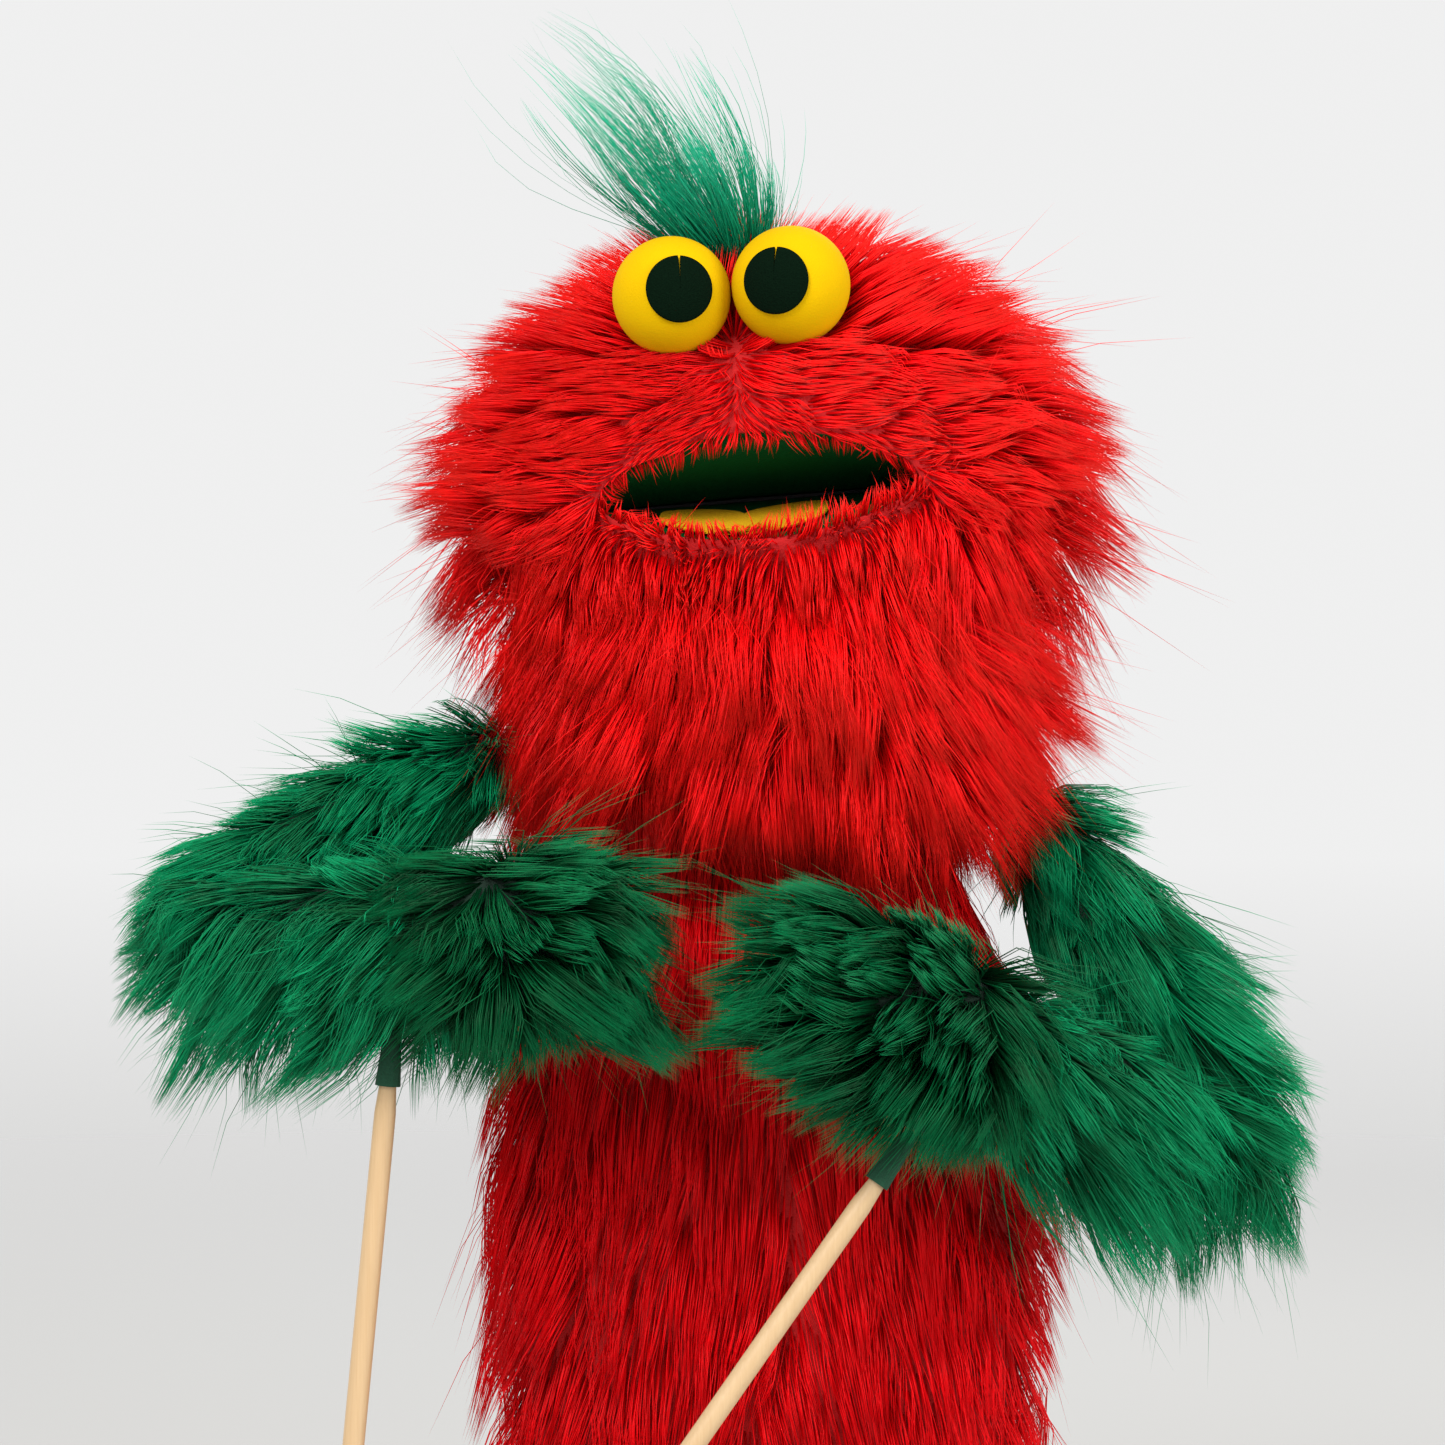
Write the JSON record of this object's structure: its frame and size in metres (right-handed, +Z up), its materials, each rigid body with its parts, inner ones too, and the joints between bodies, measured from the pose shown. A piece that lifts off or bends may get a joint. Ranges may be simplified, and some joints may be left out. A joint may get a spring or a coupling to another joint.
{
  "type": "hand and rod puppet",
  "caption": "Furry hand-and-rod puppet with a moving mouth, ball eyes, a hair tuft, a beard, stuffed folded arms and a dowel under each paw.",
  "frame": {"origin": "centre of the sleeve's open hem, where the puppeteer's forearm goes in", "axes": "+Z up the sleeve to the head, -Y the way the face looks, +X the puppet's own left"},
  "size_m": [0.4658, 0.2792, 0.8004],
  "materials": {
    "red_fur": "long red pile",
    "green_fur": "long green pile",
    "green_felt": "felt",
    "yellow_felt": "felt",
    "black_felt": "felt",
    "yellow_foam": "soft foam ball",
    "foam": "open-cell foam",
    "board": "stiff board",
    "red_cotton": "woven cotton",
    "green_cotton": "woven cotton",
    "elastic": "woven elastic",
    "stuffing": "polyester fibre",
    "wood": "plain hardwood dowel"
  },
  "bodies": {
    "sleeve": {"body_fur": "red_fur", "body_lining": "red_cotton", "hem_binding": "red_cotton"},
    "neck": {"neck_foam_ring": "foam", "neck_cuff": "red_cotton"},
    "head": {"head_fur": "red_fur", "head_foam": "foam", "right_eye": "yellow_foam", "right_pupil": "black_felt", "left_eye": "yellow_foam", "left_pupil": "black_felt", "tuft_tab": "green_cotton", "hair_tuft": "green_fur", "upper_palate_felt": "green_felt", "upper_mouth_plate": "board", "finger_strap": "elastic", "mouth_hinge_tape": "elastic", "beard_fur": "red_fur"},
    "jaw": {"jaw_fur": "red_fur", "jaw_foam": "foam", "lower_palate_felt": "green_felt", "lower_mouth_plate": "board", "thumb_strap": "elastic", "tongue": "yellow_felt"},
    "left_shoulder": {"left_shoulder_tab": "green_cotton"},
    "left_upper_arm": {"left_upper_arm_fur": "green_fur", "left_upper_arm_stuffing": "stuffing", "left_elbow_stitching": "elastic"},
    "left_forearm": {"left_forearm_fur": "green_fur", "left_forearm_stuffing": "stuffing", "left_paw_fur": "green_fur", "left_paw_stuffing": "stuffing", "left_rod_tab": "green_cotton"},
    "left_rod": {"left_arm_rod": "wood", "left_rod_pocket": "green_cotton"},
    "right_shoulder": {"right_shoulder_tab": "green_cotton"},
    "right_upper_arm": {"right_upper_arm_fur": "green_fur", "right_upper_arm_stuffing": "stuffing", "right_elbow_stitching": "elastic"},
    "right_forearm": {"right_forearm_fur": "green_fur", "right_forearm_stuffing": "stuffing", "right_paw_fur": "green_fur", "right_paw_stuffing": "stuffing", "right_rod_tab": "green_cotton"},
    "right_rod": {"right_arm_rod": "wood", "right_rod_pocket": "green_cotton"}
  },
  "joints": [
    {"name": "neck_turn", "type": "hinge", "parent": "sleeve", "child": "neck", "pos_m": [0, 0, 0.34], "axis": [0, 0, 1], "range_deg": [-15, 15]},
    {"name": "neck_nod", "type": "hinge", "parent": "neck", "child": "head", "pos_m": [0, 0, 0.352], "axis": [0.9945, -0.0695, 0.0785], "range_deg": [-9, 10]},
    {"name": "jaw_open", "type": "hinge", "parent": "head", "child": "jaw", "pos_m": [0, 0, 0.441], "axis": [0.9945, -0.0695, 0.0785], "range_deg": [-22, 14]},
    {"name": "left_shoulder_swing", "type": "hinge", "parent": "sleeve", "child": "left_shoulder", "pos_m": [0.0882, 0, 0.311], "axis": [0, 0, 1], "range_deg": [-2, 18]},
    {"name": "left_shoulder_raise", "type": "hinge", "parent": "left_shoulder", "child": "left_upper_arm", "pos_m": [0.105, 0, 0.314], "axis": [0, -1, 0], "range_deg": [-1, 30]},
    {"name": "left_elbow_bend", "type": "hinge", "parent": "left_upper_arm", "child": "left_forearm", "pos_m": [0.19584, -0.05391, 0.16825], "axis": [0.539, -0.6233, 0.5665], "range_deg": [0, 60]},
    {"name": "left_rod_pivot", "type": "hinge", "parent": "left_forearm", "child": "left_rod", "pos_m": [0.05538, -0.12219, 0.17325], "axis": [-0.0465, 0.9968, -0.0655], "range_deg": [-20, 20]},
    {"name": "right_shoulder_swing", "type": "hinge", "parent": "sleeve", "child": "right_shoulder", "pos_m": [-0.0826, 0, 0.331], "axis": [0, 0, -1], "range_deg": [-2, 18]},
    {"name": "right_shoulder_raise", "type": "hinge", "parent": "right_shoulder", "child": "right_upper_arm", "pos_m": [-0.105, 0, 0.334], "axis": [0, 1, 0], "range_deg": [-1, 30]},
    {"name": "right_elbow_bend", "type": "hinge", "parent": "right_upper_arm", "child": "right_forearm", "pos_m": [-0.25217, -0.06736, 0.25523], "axis": [0.2194, 0.5002, -0.8377], "range_deg": [0, 60]},
    {"name": "right_rod_pivot", "type": "hinge", "parent": "right_forearm", "child": "right_rod", "pos_m": [-0.15569, -0.10751, 0.21547], "axis": [0, 1, 0], "range_deg": [-20, 20]}
  ]
}
